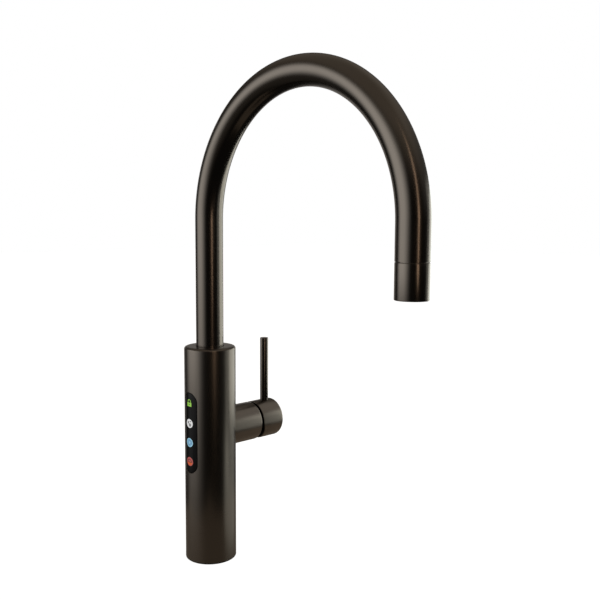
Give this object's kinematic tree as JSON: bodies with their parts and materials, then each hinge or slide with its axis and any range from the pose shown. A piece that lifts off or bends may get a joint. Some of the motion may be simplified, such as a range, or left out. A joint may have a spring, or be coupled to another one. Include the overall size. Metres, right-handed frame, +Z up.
{
  "type": "boiling water tap",
  "caption": "Tall gooseneck kitchen tap for boiling, filtered and mixed water: swivelling spout, side mixer lever and an upright touch panel with lit keys on a round column.",
  "frame": {"origin": "centre of the column's foot, level with the worktop", "axes": "+Z up along the column; the spout points to -Y (towards the user), the mixer valve to +X and the touch panel to -X"},
  "size_m": [0.1051, 0.2788, 0.5468],
  "materials": {
    "gunmetal": "satin dark gunmetal coating with a fine brushed grain",
    "brass": "machined",
    "copper": "drawn copper tube",
    "steel": "machined stainless steel",
    "rubber": "black sealing rubber",
    "white_plastic": "moulded acetal",
    "grey_plastic": "moulded",
    "ceramic": "lapped ceramic",
    "silicone": "food grade hose",
    "circuit_board": "green solder mask",
    "black_lens": "polished black lens",
    "key_green": "lit from behind, green",
    "key_white": "lit from behind, white",
    "key_blue": "lit from behind, pale blue",
    "key_orange": "lit from behind, orange red"
  },
  "bodies": {
    "tap_body": {"body_shell": "gunmetal", "valve_barrel": "gunmetal", "base_plate": "brass", "mounting_shank": "brass", "lock_nut": "brass", "manifold_block": "brass", "drinking_water_tee": "brass", "swivel_socket": "brass", "cartridge_nut": "brass", "hot_feed_pipe": "copper", "cold_feed_pipe": "copper", "mixed_water_pipe": "copper", "deck_washer_steel": "steel", "boiling_feed_pipe": "steel", "filtered_feed_pipe": "steel", "spout_grub_screw": "steel", "board_screw_upper": "steel", "board_screw_lower": "steel", "base_seal": "rubber", "deck_washer_rubber": "rubber", "inner_tube_seal": "rubber", "lens_gasket": "rubber", "port_seal": "rubber", "signal_cable": "rubber", "upper_bush": "white_plastic", "board_connector": "white_plastic", "cartridge_housing": "grey_plastic", "cartridge_lid": "grey_plastic", "cable_socket": "grey_plastic", "fixed_ceramic_disc": "ceramic", "touch_board": "circuit_board", "touch_lens": "black_lens", "light_guide_lock": "key_green", "light_guide_sparkling": "key_white", "light_guide_chilled": "key_blue", "light_guide_boiling": "key_orange"},
    "spout": {"spout_spigot": "brass", "swivel_wear_ring": "white_plastic", "swivel_seal_lower": "rubber", "swivel_seal_upper": "rubber", "spout_tube": "gunmetal", "inner_tube": "silicone", "tube_spacer_rear": "white_plastic", "tube_spacer_top": "white_plastic", "tube_spacer_front": "white_plastic", "nozzle_collar": "gunmetal", "nozzle_seal": "rubber", "stream_former": "grey_plastic", "outlet_screen": "steel", "boiling_water_tip": "steel"},
    "rotor": {"cartridge_rotor": "white_plastic", "pivot_pin": "steel"},
    "valve_disc": {"moving_ceramic_disc": "ceramic", "disc_carrier": "grey_plastic"},
    "lever": {"cartridge_stem": "brass", "lever_cap": "gunmetal", "lever_pin": "gunmetal", "lever_grub_screw": "steel"}
  },
  "joints": [
    {"name": "spout_swivel", "type": "hinge", "parent": "tap_body", "child": "spout", "pos_m": [0, 0, 0.2], "axis": [0, 0, 1], "range_deg": [-90, 90]},
    {"name": "temperature_turn", "type": "hinge", "parent": "tap_body", "child": "rotor", "pos_m": [0.0367, 0, 0.123], "axis": [1, 0, 0], "range_deg": [-45, 45]},
    {"name": "flow_tilt", "type": "hinge", "parent": "rotor", "child": "lever", "pos_m": [0.0367, 0, 0.123], "axis": [0, 1, 0], "range_deg": [0, 15]},
    {"name": "disc_slide", "type": "slide", "parent": "rotor", "child": "valve_disc", "axis": [0, 0, 1], "range_m": [0, 0.0022]}
  ],
  "couplings": [
    {"joint": "disc_slide", "follows": "flow_tilt", "m_per_rad": 0.0081}
  ]
}
